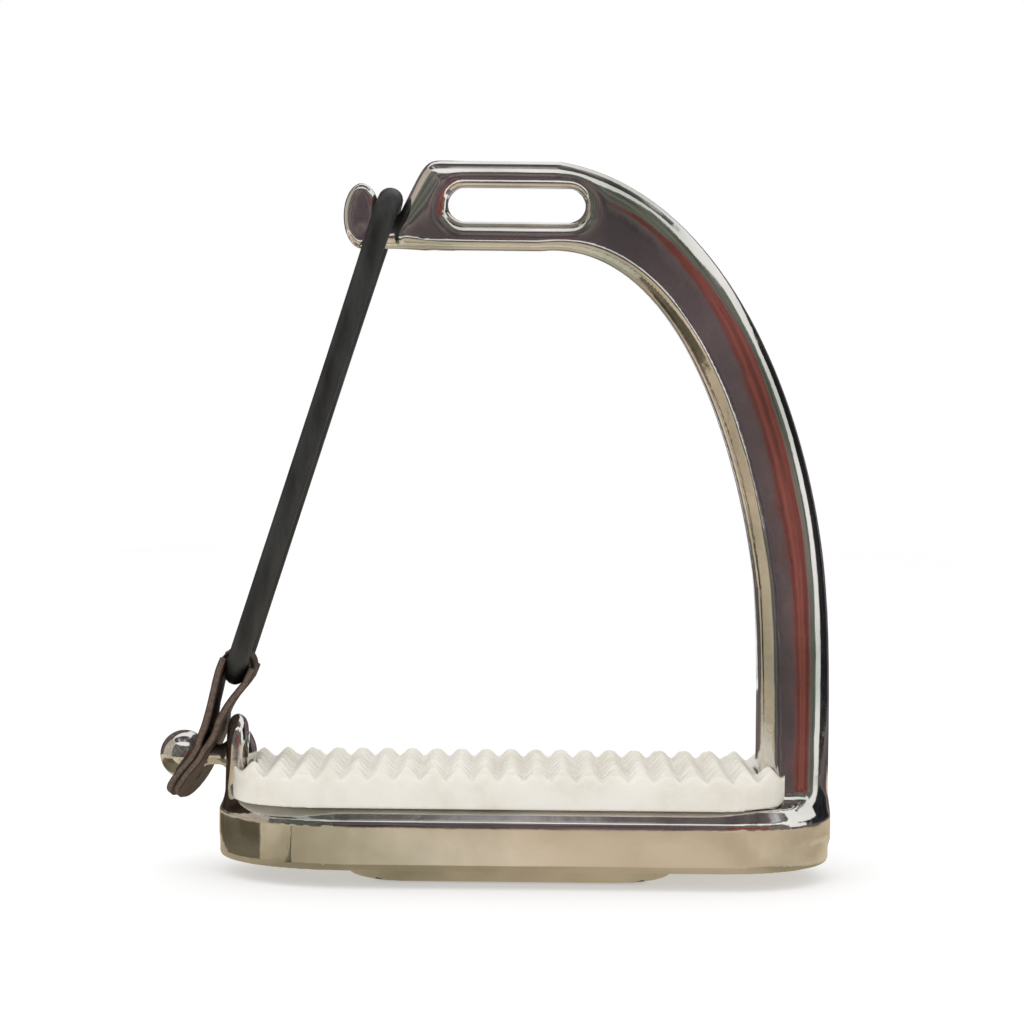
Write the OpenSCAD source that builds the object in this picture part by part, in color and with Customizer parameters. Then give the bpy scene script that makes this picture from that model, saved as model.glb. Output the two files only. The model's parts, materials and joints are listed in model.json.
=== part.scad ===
// Quick-release safety stirrup iron: one cast frame with a single arm, a ball
// stud in its open side, a ridged rubber tread, a rubber ring and a leather tab.
// X runs along the tread, Y front to back, Z up; the origin is on the ground
// under the middle of the tread.

/* [Footplate] */
// Reach of the plate past the tread's middle on the open side
plate_left = 69.8; // [69.4:0.2:71]
// Reach of the plate past the tread's middle on the arm's side
plate_right = 76.4; // [76:0.2:78]
// Front-to-back width of the plate
plate_w = 44; // [42:1:46]
// Thickness of the plate
plate_t = 14.5; // [13.5:0.5:15.5]
// Slope height of the plate's upper edge
plate_edge = 3; // [1:0.5:4]

/* [Collar] */
// Height of the collar below the plate
collar_h = 3.7; // [3:0.1:5]
// Length of the collar's flat underside
collar_l = 66; // [62:1:68]
// Width of the collar's flat underside
collar_w = 26; // [24:1:28]
// Spread of the collar where it meets the plate, each way
collar_flare = 5; // [2:0.5:6]

/* [Arm and eye] */
// Half depth of the arm where it grows out of the plate
foot_half_depth = 10.5; // [9:0.5:11]
// Half depth of the eye
eye_half_depth = 4.6; // [4:0.1:5]
// Squareness of the arm's section on its inner side, 2 being an ellipse
inner_squareness = 4; // [2:0.1:5]
// Squareness of the arm's section on its outer side, next to the plate
outer_squareness = 2.2; // [2:0.1:4]
// Length of the slot for the stirrup leather
slot_l = 32.7; // [30:0.1:33]
// Height of the slot for the stirrup leather
slot_h = 7.8; // [6:0.1:8]

/* [Hook] */
// Diameter of the bar that the rubber ring sits on
saddle_d = 8.4; // [8:0.1:8.6]
// Diameter of the upright horn
horn_d = 8; // [7:0.1:8]
// Height of the horn's top
horn_top = 164.5; // [162:0.5:168]

/* [Lug and stud] */
// Thickness of the lug
lug_t = 6; // [5:0.1:6]
// Width of the lug, front to back
lug_w = 12; // [12:0.5:14]
// Height of the lug's top
lug_top = 37.5; // [36:0.5:38]
// Diameter of the stud's ball
ball_d = 10.3; // [9:0.1:10.5]
// Diameter of the stud's shank
shank_d = 5; // [4:0.1:5.4]
// Diameter of the domed head on the lug's inner side
head_d = 11.6; // [10:0.2:12]
// Height of the domed head
head_h = 1.9; // [1:0.1:2]

/* [Tread pad] */
// Half length of the pad
pad_reach = 66.8; // [65:0.2:68]
// Front-to-back width of the pad
pad_w = 41; // [38:1:42]
// Height of the pad's plain front wall
pad_wall = 6.3; // [5:0.1:7]
// Pitch of the pyramid studs, both ways
stud_pitch = 6.1; // [5.5:0.1:7]
// Height of the pyramid studs
stud_h = 3.4; // [2:0.1:4]
// Gap between the pad and the metal that it surrounds
pad_gap = 0.4; // [0.3:0.1:0.8]

/* [Rubber ring] */
// Thickness of the rubber
ring_d = 5.4; // [4:0.1:5.4]
// Half width of the ring over the hook
ring_top_r = 7.4; // [7.4:0.1:8]
// Half width of the ring in the leather's fold
ring_low_r = 8.4; // [8.2:0.1:8.8]

/* [Leather tab] */
// Width of the leather strip
tab_w = 19; // [16:0.5:20]
// Thickness of the leather
leather_t = 2; // [1.5:0.1:2.2]
// Slope of the tab from upright
tab_tilt = 22; // [21:0.5:23]
// Further outward bend of the tab's tail
tail_bend = 13; // [8:1:18]

/* [Hidden] */

plate_z = collar_h;
plate_top = collar_h + plate_t;
half_w = plate_w / 2;

// Where the straight sides of the plate and the pad turn into their rounded
// ends, and how blunt those ends are, 2 being an ellipse
straight_left = 38;
straight_right = 50;
pad_straight_left = 42;
pad_straight_right = 45;
plate_power = 2;
pad_power = 2.5;

// Windows through the plate that hold the pad's plugs, either side of a web
window_l = 23;
window_w = 15;
web_w = 12;
plug_gap = 0.3;
plug_recess = 1;
arm_notch_gap = 1;

// Height of the stud's axis and the middle of its ball
stud_z = 27.6;
ball_x = -79.2;
lug_inner_x = -63;
lug_mid_x = lug_inner_x - lug_t / 2;

// Middle of the eye's slot and the line of the hook's bar
slot_z = 159.7;
saddle_z = 153.2;
horn_x = -37.1;
saddle_end_x = -24;

// Middle of the ring's section over the hook and inside the leather's fold
ring_top = [-29.95, 160.9];
ring_low = [-66.4, 47];
ring_length = norm(ring_top - ring_low);
ring_tilt = atan((ring_top[0] - ring_low[0]) / (ring_top[1] - ring_low[1]));

// The arm is skinned between an outer and an inner edge, each a chain of
// cubic curves in X and Z; the eye's far end also grows thinner
outer_edge = [
    [[76.1, 10], [76.3, 35], [76.4, 55], [75, 69]],
    [[75, 69], [72, 106], [52.5, 163.5], [10, 170.2]],
    [[10, 170.2], [0, 170.2], [-9, 170.2], [-18, 170.2]],
    [[-18, 170.2], [-22.5, 170.2], [-22.3, 168.5], [-29.5, 154]]
];
inner_edge = [
    [[59.1, 10], [59.1, 30], [59.2, 53], [57.8, 69]],
    [[57.8, 69], [55, 94], [41, 152.8], [5.6, 148.8]],
    [[5.6, 148.8], [-2, 148.8], [-8, 148.8], [-14, 148.8]],
    [[-14, 148.8], [-20, 148.8], [-24, 149], [-28, 150]]
];
edge_end_depth = [1, 1, 1, 0.76];
edge_steps = [8, 16, 2, 5];

// Points round a swept section, and steps round an end's outline
end_steps = 36;
arm_sides = 20;
ring_sides = 16;
ring_arc_steps = 10;
ring_strand_steps = 4;

// Fold of the leather: half gap between its legs, its rise over the ring, half
// width between the ring's strands, and room for them inside the ears; then how
// far down the legs have closed up, where the tail bends, and the tail's length
fold_gap = 3.2;
fold_rise = 2.2;
neck_half_w = 4.4;
ear_gap = 0.4;
shank_from = 10;
bend_at = 21;
tail_l = 11;
tail_trim = 0.3;
tab_clearance = 0.3;

// Cut past a surface, and the plane thickness inside a hull
over = 1;
thin = 0.1;
$fn = 64;

function bezier(p, t) =
    pow(1 - t, 3) * p[0] + 3 * t * pow(1 - t, 2) * p[1]
    + 3 * t * t * (1 - t) * p[2] + pow(t, 3) * p[3];

// Share of the arm's height that lies below a point
function climb_at(z) =
    (z - outer_edge[0][0][1]) / (outer_edge[2][0][1] - outer_edge[0][0][1]);

// Half depth of the arm, spreading toward the plate
function half_depth(climb) =
    eye_half_depth + (foot_half_depth - eye_half_depth) * pow(1 - climb, 2);

// The outer side is rounder than the inner one, except round the eye
function outer_power(climb) =
    outer_squareness + (inner_squareness - outer_squareness) * pow(max(climb, 0), 3);

function rounded(v, power) = sign(v) * pow(abs(v), 2 / power);

// One ring of points between an outer and an inner edge point
function arm_ring(outer, inner, taper) = [
    for (k = [0:arm_sides - 1])
    let (
        a = 360 * (k + 0.5) / arm_sides,
        climb = climb_at((outer[1] + inner[1]) / 2),
        power = cos(a) > 0 ? outer_power(climb) : inner_squareness,
        p = (outer + inner) / 2 + rounded(cos(a), power) * (outer - inner) / 2
    )
    [p[0], rounded(sin(a), 2) * taper * half_depth(climb), p[1]]
];

// The ring's middle line in its own plane: front-to-back place and drop
function ring_point(side, low, t) =
    let (
        r = low ? ring_low_r : ring_top_r,
        s = low ? ring_length - r + r * sin(t) : r - r * sin(t)
    )
    [side * r * cos(t), s];

ring_line = concat(
    [for (i = [0:ring_arc_steps]) ring_point(1, false, 180 * i / ring_arc_steps)],
    [for (i = [1:ring_strand_steps - 1]) strand_point(-1, i / ring_strand_steps)],
    [for (i = [0:ring_arc_steps]) ring_point(-1, true, 180 * i / ring_arc_steps)],
    [for (i = [1:ring_strand_steps - 1]) strand_point(1, 1 - i / ring_strand_steps)]
);

function strand_point(side, t) =
    (1 - t) * [side * ring_top_r, ring_top_r]
    + t * [side * ring_low_r, ring_length - ring_low_r];

function unit(v) = v / norm(v);

// One ring of points round the rubber's middle line
function rubber_ring_points(i) =
    let (
        n = len(ring_line),
        along = unit(ring_line[(i + 1) % n] - ring_line[(i + n - 1) % n]),
        c = ring_line[i]
    )
    [for (k = [0:ring_sides - 1])
        let (
            a = 360 * k / ring_sides,
            across = ring_d / 2 * cos(a)
        )
        [ring_d / 2 * sin(a), c[0] - along[1] * across, -(c[1] + along[0] * across)]
    ];

// Two triangles for each step round and along a sweep of rings
function skin(rings, sides, closed) = [
    for (i = [0:rings - (closed ? 1 : 2)], k = [0:sides - 1], half = [0, 1])
    let (
        a = i * sides,
        b = ((i + 1) % rings) * sides,
        next = (k + 1) % sides
    )
    half == 0 ? [a + k, b + k, b + next] : [a + k, b + next, a + next]
];

// Points round one end of a plan outline, from its straight side to the other
// one; a power of 2 gives an ellipse and a higher one a blunter end
function end_points(reach, straight, half_width, power) = [
    for (i = [0:end_steps])
    let (a = 90 - 180 * i / end_steps)
    [straight + (reach - straight) * rounded(cos(a), power),
     half_width * rounded(sin(a), power)]
];

// Plan outline with straight sides and rounded ends
module boat_outline(left, right, half_width, from, to, power) {
    polygon(concat(end_points(right, to, half_width, power),
                   -end_points(left, from, half_width, power)));
}

// The plate's outline drawn in by a margin all round
module plate_outline(margin) {
    boat_outline(plate_left - margin, plate_right - margin, half_w - margin,
                 straight_left, straight_right, plate_power);
}

module level(z, height) {
    translate([0, 0, z]) linear_extrude(height = height) children();
}

// Long hole or plug outline with round ends, along X
module stadium(length, width) {
    offset_x = (length - width) / 2;
    for (side = [-1, 1]) translate([side * offset_x, 0]) circle(d = width);
    square([2 * offset_x, width], center = true);
}

module plate() {
    hull() {
        level(plate_z, thin) plate_outline(1);
        level(plate_z + 1, plate_t - 1 - plate_edge) plate_outline(0);
        level(plate_top - thin, thin) plate_outline(plate_edge);
    }
}

module collar() {
    level(0, plate_z + over) stadium(collar_l, collar_w);
    hull() {
        level(plate_z / 4, thin) stadium(collar_l + collar_flare, collar_w + collar_flare / 2);
        level(plate_z, thin)
            stadium(collar_l + 2 * collar_flare, collar_w + collar_flare);
    }
}

// Both windows, or the plugs that fill them when drawn in by a margin
module windows(margin) {
    for (side = [-1, 1])
        translate([side * (web_w + window_l) / 2, 0])
            stadium(window_l - 2 * margin, window_w - 2 * margin);
}

module arm_and_eye() {
    rings = [
        for (c = [0:len(outer_edge) - 1], i = [(c == 0 ? 0 : 1):edge_steps[c]])
        let (t = i / edge_steps[c])
        arm_ring(bezier(outer_edge[c], t), bezier(inner_edge[c], t),
                 1 - t * (1 - edge_end_depth[c]))
    ];
    last = (len(rings) - 1) * arm_sides;
    caps = [
        for (k = [1:arm_sides - 2])
        each [[0, k, k + 1], [last, last + k + 1, last + k]]
    ];
    polyhedron(points = [for (r = rings) each r],
               faces = concat(skin(len(rings), arm_sides, false), caps));
}

module hook() {
    horn_r = horn_d / 2;
    translate([horn_x, 0, saddle_z]) {
        sphere(d = saddle_d);
        cylinder(r = horn_r, h = horn_top - horn_r - saddle_z);
        translate([0, 0, horn_top - horn_r - saddle_z]) sphere(r = horn_r);
        rotate([0, 90, 0]) cylinder(d = saddle_d, h = saddle_end_x - horn_x);
    }
}

module lug() {
    // The top is rounded front to back, and grows thinner over its crown
    crown = 1.8;
    crown_h = 3;
    hull() {
        level(plate_z + over, plate_t - over) translate([lug_mid_x, 0])
            square([lug_t, lug_w], center = true);
        lug_disc(lug_w / 2 - crown_h, lug_t, lug_top - lug_w / 2);
        lug_disc(lug_w / 2, lug_t - 2 * crown, lug_top - lug_w / 2);
    }
}

module lug_disc(r, width, z) {
    translate([lug_mid_x, 0, z])
        rotate([0, 90, 0]) cylinder(r = r, h = width, center = true);
}

module leather_slot() {
    translate([0, 0, slot_z]) rotate([90, 0, 0])
        linear_extrude(height = 4 * eye_half_depth, center = true)
            stadium(slot_l, slot_h);
}

module stud_hole() {
    translate([ball_x, 0, stud_z]) rotate([0, 90, 0])
        cylinder(d = shank_d, h = lug_inner_x - ball_x + over);
}

module stirrup_frame() {
    color("silver") difference() {
        union() {
            plate();
            collar();
            arm_and_eye();
            hook();
            lug();
        }
        leather_slot();
        level(-over, plate_top + 2 * over) windows(0);
        stud_hole();
    }
}

// Half outline of the turned stud, from its ball to the dome on its far end
module stud_outline() {
    reach = lug_inner_x - ball_x;
    dome_r = (pow(head_d / 2, 2) + pow(head_h, 2)) / (2 * head_h);
    intersection() {
        union() {
            circle(d = ball_d);
            square([shank_d / 2, reach + head_h / 2]);
            intersection() {
                translate([0, reach + head_h - dome_r]) circle(r = dome_r);
                translate([0, reach]) square(head_d);
            }
        }
        translate([0, -ball_d]) square([head_d, 2 * ball_d + reach]);
    }
}

module ball_stud() {
    color("gainsboro") translate([ball_x, 0, stud_z]) rotate([0, 90, 0])
        rotate_extrude() stud_outline();
}

// Zigzag wall whose crossing with another one leaves a field of pyramids
module zigzag(half_length, offset_by) {
    steps = ceil(half_length / stud_pitch) + 1;
    tip = 0.3; // half width of a flattened stud tip
    foot = plate_top + over;
    valley = plate_top + pad_wall;
    crests = [
        for (i = [-steps:steps])
        let (x = (i + offset_by) * stud_pitch)
        each [[x - stud_pitch / 2, valley], [x - tip, valley + stud_h],
              [x + tip, valley + stud_h]]
    ];
    end = (steps + offset_by + 0.5) * stud_pitch;
    polygon(concat([[-(steps - offset_by + 0.5) * stud_pitch, foot]], crests,
                   [[end, valley], [end, foot]]));
}

module pyramids() {
    reach = pad_reach + 4 * stud_pitch;
    intersection() {
        rotate([90, 0, 0]) linear_extrude(height = 2 * reach, center = true)
            zigzag(pad_reach, 0);
        rotate([90, 0, 90]) linear_extrude(height = 2 * reach, center = true)
            zigzag(pad_w / 2, 0.5);
        level(plate_top, pad_wall + stud_h + over) pad_outline();
    }
}

module pad_outline() {
    boat_outline(pad_reach, pad_reach, pad_w / 2, pad_straight_left, pad_straight_right,
                 pad_power);
}

module tread_pad() {
    notch_h = pad_wall + stud_h + 2 * over;
    lug_notch_w = lug_w + 2 * pad_gap;
    arm_notch_w = 2 * (foot_half_depth + pad_gap);
    lug_notch_x = lug_inner_x + head_h + pad_gap;
    arm_notch_x = inner_edge[0][0][0] - arm_notch_gap;
    color("ivory") difference() {
        union() {
            level(plate_top, pad_wall - over) pad_outline();
            pyramids();
            level(plug_recess, plate_top) windows(plug_gap);
        }
        translate([-pad_reach - over, -lug_notch_w / 2, plate_top - over])
            cube([lug_notch_x + pad_reach + over, lug_notch_w, notch_h]);
        translate([arm_notch_x, -arm_notch_w / 2, plate_top - over])
            cube([pad_reach, arm_notch_w, notch_h]);
    }
}

module rubber_ring() {
    n = len(ring_line);
    color("dimgray") translate([ring_top[0], 0, ring_top[1]]) rotate([0, ring_tilt, 0])
        polyhedron(points = [for (i = [0:n - 1]) each rubber_ring_points(i)],
                   faces = skin(n, ring_sides, true));
}

// A length of the strip, as wide as the tab, from its side view
module strip() {
    rotate([90, 0, 0]) linear_extrude(height = tab_w, center = true) children();
}

// An arch over the ring, with room left for the ring's strands to pass it
module fold() {
    outer = fold_gap + leather_t;
    difference() {
        strip() translate([0, fold_rise]) intersection() {
            difference() {
                circle(r = outer);
                circle(r = fold_gap);
            }
            translate([-outer, 0]) square([2 * outer, outer]);
        }
        for (side = [-1, 1])
            translate([0, side * (neck_half_w + tab_w / 2), fold_rise + outer / 2])
                cube([2 * (fold_gap + ear_gap), tab_w, outer + over], center = true);
    }
}

// One of the two legs, which close up toward the shank
module leg() {
    lap = 0.25;
    strip() polygon([
        [-fold_gap, fold_rise + lap],
        [-fold_gap - leather_t, fold_rise + lap],
        [-fold_gap - leather_t, 0],
        [-leather_t, -shank_from - over],
        [0, -shank_from - over],
        [0, -shank_from],
        [-fold_gap, 0]
    ]);
}

// Both layers together, and the tail that bends outward
module shank_and_tail() {
    strip() translate([-leather_t, -bend_at])
        square([2 * leather_t, bend_at - shank_from]);
    translate([0, 0, -bend_at]) rotate([0, tail_bend, 0]) strip() {
        circle(r = leather_t);
        translate([-leather_t, -tail_l]) square([2 * leather_t, tail_l]);
    }
}

// Front view of the strip, with its rounded tail
module tab_front() {
    low = bend_at + tail_l - tail_trim;
    half = tab_w / 2;
    translate([0, half - low]) circle(r = half);
    translate([-half, half - low]) square([tab_w, low]);
}

module leather_tab() {
    color("saddlebrown") difference() {
        translate([ring_low[0], 0, ring_low[1]]) rotate([0, tab_tilt, 0]) intersection() {
            union() {
                fold();
                leg();
                rotate([0, 0, 180]) leg();
                shank_and_tail();
            }
            rotate([90, 0, 90]) linear_extrude(height = 4 * tab_w, center = true)
                tab_front();
        }
        translate([ball_x, 0, stud_z]) {
            sphere(d = ball_d + 2 * tab_clearance);
            rotate([0, 90, 0])
                cylinder(d = shank_d + 2 * tab_clearance, h = lug_inner_x - ball_x);
        }
    }
}

stirrup_frame();
ball_stud();
tread_pad();
rubber_ring();
leather_tab();
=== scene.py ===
import json
import math

import bpy
import numpy as np
import openvdb
from mathutils import Matrix, Quaternion, Vector


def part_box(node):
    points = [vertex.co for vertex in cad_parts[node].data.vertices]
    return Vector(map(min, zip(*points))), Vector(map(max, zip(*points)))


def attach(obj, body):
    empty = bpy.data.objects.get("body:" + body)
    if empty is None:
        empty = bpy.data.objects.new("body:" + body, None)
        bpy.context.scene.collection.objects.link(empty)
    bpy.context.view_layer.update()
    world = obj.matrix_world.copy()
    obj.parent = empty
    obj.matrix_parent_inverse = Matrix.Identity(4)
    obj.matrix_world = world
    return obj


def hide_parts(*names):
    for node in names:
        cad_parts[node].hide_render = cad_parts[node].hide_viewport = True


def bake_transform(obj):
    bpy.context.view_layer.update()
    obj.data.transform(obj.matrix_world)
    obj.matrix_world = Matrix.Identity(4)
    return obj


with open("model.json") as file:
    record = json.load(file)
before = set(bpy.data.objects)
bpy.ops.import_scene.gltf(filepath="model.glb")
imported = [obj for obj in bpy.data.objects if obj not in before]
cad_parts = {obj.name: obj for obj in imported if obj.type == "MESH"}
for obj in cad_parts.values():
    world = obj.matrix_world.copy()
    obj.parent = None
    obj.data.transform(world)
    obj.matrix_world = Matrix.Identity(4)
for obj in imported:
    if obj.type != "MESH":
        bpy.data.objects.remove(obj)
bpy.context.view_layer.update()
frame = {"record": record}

# Shapes are worked out in millimetres of the row frame, and their meshes scaled to metres.
# The stage at the end is in metres. The camera looks along +y, so x runs right and z up.
MM = 0.001
# Share of a length left when it is measured square to a 45 degree slope
DIAGONAL = 0.707

# ---------------------------------------------------------------- places from the frame

def box_mm(node):
    low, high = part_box(node)
    return np.array(low) / MM, np.array(high) / MM


FRAME_LOW, FRAME_HIGH = box_mm("stirrup_frame")
PAD_LOW, PAD_HIGH = box_mm("tread_pad")
STUD_LOW, STUD_HIGH = box_mm("ball_stud")
JOINTS = {joint["name"]: joint for joint in frame["record"]["behaviour"]["joints"]}
RING_TOP = np.array(JOINTS["ring_swing"]["pos_m"]) / MM
RING_FOOT = np.array(JOINTS["tab_swing"]["pos_m"]) / MM

TOP = FRAME_HIGH[2]
RIGHT = FRAME_HIGH[0]
HALF_WIDTH = FRAME_HIGH[1]
BALL_RADIUS = (STUD_HIGH[2] - STUD_LOW[2]) / 2
BALL = np.array([STUD_LOW[0] + BALL_RADIUS, 0, (STUD_LOW[2] + STUD_HIGH[2]) / 2])
HEAD_HEIGHT = 1.9
LUG_INNER = STUD_HIGH[0] - HEAD_HEIGHT

# Places inside the casting, which its box doesn't tell
PLATE_LEFT = -69.8
COLLAR_HEIGHT = 3.7
PLATE_TOP = 18.2

# ---------------------------------------------------------------- implicit surfaces

def bezier(p, steps):
    """Points on a cubic curve, its last point left out."""
    t = np.linspace(0, 1, steps, endpoint=False)[:, None]
    a, b, c, d = (np.array(q, float) for q in p)
    return (1 - t) ** 3 * a + 3 * t * (1 - t) ** 2 * b + 3 * t * t * (1 - t) * c + t ** 3 * d


def smooth_union(a, b, reach):
    """Joins two fields, or takes the lower of two heights, with a blend about reach wide."""
    h = np.clip(0.5 + 0.5 * (b - a) / reach, 0, 1)
    return b + (a - b) * h - reach * h * (1 - h)


def smooth_max(a, b, reach):
    return -smooth_union(-a, -b, reach)


def smooth_cut(a, tool, reach):
    return smooth_max(a, -tool, reach)


def chain_distance(u, v, chain):
    """Distance in a plane to an open line through the given points."""
    nearest = np.full(np.broadcast(u, v).shape, np.inf)
    for (u0, v0), (u1, v1) in zip(chain[:-1], chain[1:]):
        du, dv = u1 - u0, v1 - v0
        along = np.clip(((u - u0) * du + (v - v0) * dv) / (du * du + dv * dv), 0, 1)
        nearest = np.minimum(nearest, (u - u0 - along * du) ** 2 + (v - v0 - along * dv) ** 2)
    return np.sqrt(nearest)


def inside_outline(u, v, corners):
    inside = np.zeros(np.broadcast(u, v).shape, bool)
    for (u0, v0), (u1, v1) in zip(corners, np.roll(corners, -1, axis=0)):
        if v0 != v1:
            inside ^= ((v0 > v) != (v1 > v)) & (u < u0 + (v - v0) * (u1 - u0) / (v1 - v0))
    return inside


def polygon_distance(u, v, corners):
    """Signed distance in a plane to a closed outline, negative inside."""
    closed = np.concatenate([corners, corners[:1]])
    return np.where(inside_outline(u, v, corners), -1, 1) * chain_distance(u, v, closed)


def ellipse_distance(u, v, half_u, half_v):
    """Signed distance to an ellipse, true near its edge."""
    ratio = np.maximum(np.hypot(u / half_u, v / half_v), 1e-4)
    slope = np.maximum(np.hypot(u / half_u ** 2, v / half_v ** 2), 1e-4 / half_u)
    return (ratio - 1) * ratio / slope


def stadium_distance(u, v, length, width):
    """Signed distance to a slot shape with round ends, lying along u."""
    reach = (length - width) / 2
    return np.hypot(u - np.clip(u, -reach, reach), v) - width / 2


def capsule_distance(x, y, z, a, b, radius):
    """Distance to a rod with round ends between two points."""
    axis = np.subtract(b, a)
    t = ((x - a[0]) * axis[0] + (y - a[1]) * axis[1] + (z - a[2]) * axis[2]) / (axis @ axis)
    t = np.clip(t, 0, 1)
    return np.sqrt((x - a[0] - t * axis[0]) ** 2 + (y - a[1] - t * axis[1]) ** 2
                   + (z - a[2] - t * axis[2]) ** 2) - radius


def rounded_slab(outline, across, half, radius):
    """An outline given thickness, with its edges rounded."""
    q = outline + radius
    w = np.abs(across) - half + radius
    return (np.minimum(np.maximum(q, w), 0)
            + np.hypot(np.maximum(q, 0), np.maximum(w, 0)) - radius)


def mesh_object(name, points, faces):
    """A smooth-shaded object from points in millimetres."""
    mesh = bpy.data.meshes.new(name)
    mesh.from_pydata(np.asarray(points * MM).tolist(), [], np.asarray(faces).tolist())
    mesh.validate()
    mesh.shade_smooth()
    obj = bpy.data.objects.new(name, mesh)
    bpy.context.collection.objects.link(obj)
    return obj


MARGIN_CELLS = 2.5
BAND_CELLS = 3
PROBE = 0.02
LEAST_STEEPNESS = 0.2
SETTLING_ROUNDS = 3


def skin_field(field, low, high, step):
    """Points and quads on the zero level of a field, moved onto it, with faces looking out."""
    low = np.asarray(low) - MARGIN_CELLS * step
    axes = [np.arange(a, b + MARGIN_CELLS * step, step) for a, b in zip(low, high)]
    values = field(*np.ix_(*axes))
    values = np.broadcast_to(values, [len(a) for a in axes]).astype(np.float32)
    band = BAND_CELLS * step
    grid = openvdb.FloatGrid(background=float(band))
    grid.copyFromArray(np.clip(values, -band, band))
    points, quads = grid.convertToQuads()
    points = low + points.astype(float) * step
    for _ in range(SETTLING_ROUNDS):
        here = field(*points.T)
        slope = np.stack([
            (field(*(points + PROBE * axis).T) - here) / PROBE for axis in np.eye(3)
        ], axis=1)
        steepness = np.maximum((slope ** 2).sum(1), LEAST_STEEPNESS)
        move = -here[:, None] * slope / steepness[:, None]
        points += np.clip(move, -step / 2, step / 2)
    return points, quads


def tube_quads(rings, sides, closed=False):
    """Quads between rings of points that follow each other; closed joins the last to the first."""
    bands = rings if closed else rings - 1
    i, k = np.meshgrid(np.arange(bands), np.arange(sides), indexing="ij")
    j, m = (i + 1) % rings, (k + 1) % sides
    quads = np.stack([i * sides + k, i * sides + m, j * sides + m, j * sides + k], -1)
    return quads.reshape(-1, 4)

# ---------------------------------------------------------------- the casting

SLOT_Z = 159.7
SLOT_LENGTH = 32.7
SLOT_HEIGHT = 7.8
ARM_FOOT_Z = 10

# Side view of the arm and eye, as cubic curves that join end to end: up the outer side, over the
# eye and down to the hook, and then along the eye's underside and down the inner side
OUTER_EDGE = [
    [(RIGHT - 0.3, ARM_FOOT_Z), (RIGHT - 0.1, 35), (RIGHT, 55), (75, 69)],
    [(75, 69), (72, 106), (52.5, 163.5), (10, TOP)],
    [(10, TOP), (0, TOP), (-9, TOP), (-18, TOP)],
    [(-18, TOP), (-22.5, TOP), (-22.3, 168.5), (-29.5, 154)],
]
INNER_EDGE = [
    [(-28, 150), (-24, 149), (-20, 148.8), (-14, 148.8)],
    [(-14, 148.8), (-8, 148.8), (-2, 148.8), (5.6, 148.8)],
    [(5.6, 148.8), (41, 152.8), (55, 94), (57.8, 69)],
    [(57.8, 69), (59.2, 53), (59.1, 30), (59.1, ARM_FOOT_Z)],
]
OUTER_STEPS = (8, 40, 1, 16)
INNER_STEPS = (4, 1, 40, 8)


def edge_chain(edge, steps):
    """Points along one edge, with so many on each of its curves."""
    return np.concatenate([bezier(p, n) for p, n in zip(edge, steps)] + [[edge[-1][-1]]])


INNER_CHAIN = edge_chain(INNER_EDGE, INNER_STEPS)
OUTER_CHAIN = np.concatenate([edge_chain(OUTER_EDGE, OUTER_STEPS), INNER_CHAIN[:1]])
ARM_OUTLINE = np.concatenate([OUTER_CHAIN, INNER_CHAIN[1:]])

EYE_HALF_DEPTH = 4.6
FOOT_HALF_DEPTH = 10.5
ARM_HALF_SPAN = 8.7
# Toward the hook the eye gets thinner, by this share, over this stretch
HOOK_END_THINNING = 0.24
THINNING_FROM_X = -16
THINNING_LENGTH = 12
# Roundness of the outer side: 2 is an ellipse, and more is squarer
FOOT_POWER = 2.2
EYE_POWER_RISE = 1.2
FACE_CROWN = 0.03
# The chamfer of the inner side doubles from the eye to the middle of the arm
CHAMFER = 1.9
CHAMFER_FROM_X = 5
CHAMFER_GROWTH_LENGTH = 45
CHAMFER_ROUNDING = 0.4
INNER_EDGE_ROUNDING = 1.2
SLOT_EDGE_ROUNDING = 4.5


def arm_section(across, inner, y, depth, power, chamfer):
    """Section of the arm: across is 1 on the outer edge, 0 in the middle and -1 on the inner."""
    rounded = np.sqrt(np.maximum(across, 0) ** power + (y / depth) ** 2) - 1
    face = np.abs(y) - depth * (1 - FACE_CROWN * across ** 2)
    slope = (np.abs(y) - depth + chamfer - inner) * DIAGONAL
    inner_side = smooth_max(smooth_max(face, slope, CHAMFER_ROUNDING), -inner,
                            INNER_EDGE_ROUNDING)
    return np.where(across > 0, rounded * ARM_HALF_SPAN, inner_side)


def arm_field(x, y, z):
    """The arm and eye: a rounded outer side, a flat face and a chamfered inner side."""
    outer = chain_distance(x, z, OUTER_CHAIN)
    inner = chain_distance(x, z, INNER_CHAIN)
    outside = ~inside_outline(x, z, ARM_OUTLINE)
    outer = np.where(outside & (outer < inner), -outer, outer)
    inner = np.where(outside & (inner <= np.abs(outer)), -inner, inner)
    across = np.clip((inner - outer) / np.maximum(inner + outer, 1), -2, 2)
    climb = np.clip((z - ARM_FOOT_Z) / (TOP - ARM_FOOT_Z), 0, 1)
    depth = EYE_HALF_DEPTH + (FOOT_HALF_DEPTH - EYE_HALF_DEPTH) * (1 - climb) ** 2
    thinning = np.clip((THINNING_FROM_X - x) / THINNING_LENGTH, 0, 1)
    depth = depth * (1 - HOOK_END_THINNING * thinning)
    power = FOOT_POWER + EYE_POWER_RISE * climb ** 3
    growth = np.clip((x - CHAMFER_FROM_X) / CHAMFER_GROWTH_LENGTH, 0, 1)
    field = arm_section(across, inner, y, depth, power, CHAMFER + CHAMFER * growth)
    slot = stadium_distance(x, z - SLOT_Z, SLOT_LENGTH, SLOT_HEIGHT)
    return np.maximum(smooth_cut(field, slot, SLOT_EDGE_ROUNDING), ARM_FOOT_Z - z)


END_STEPS = 16


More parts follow.
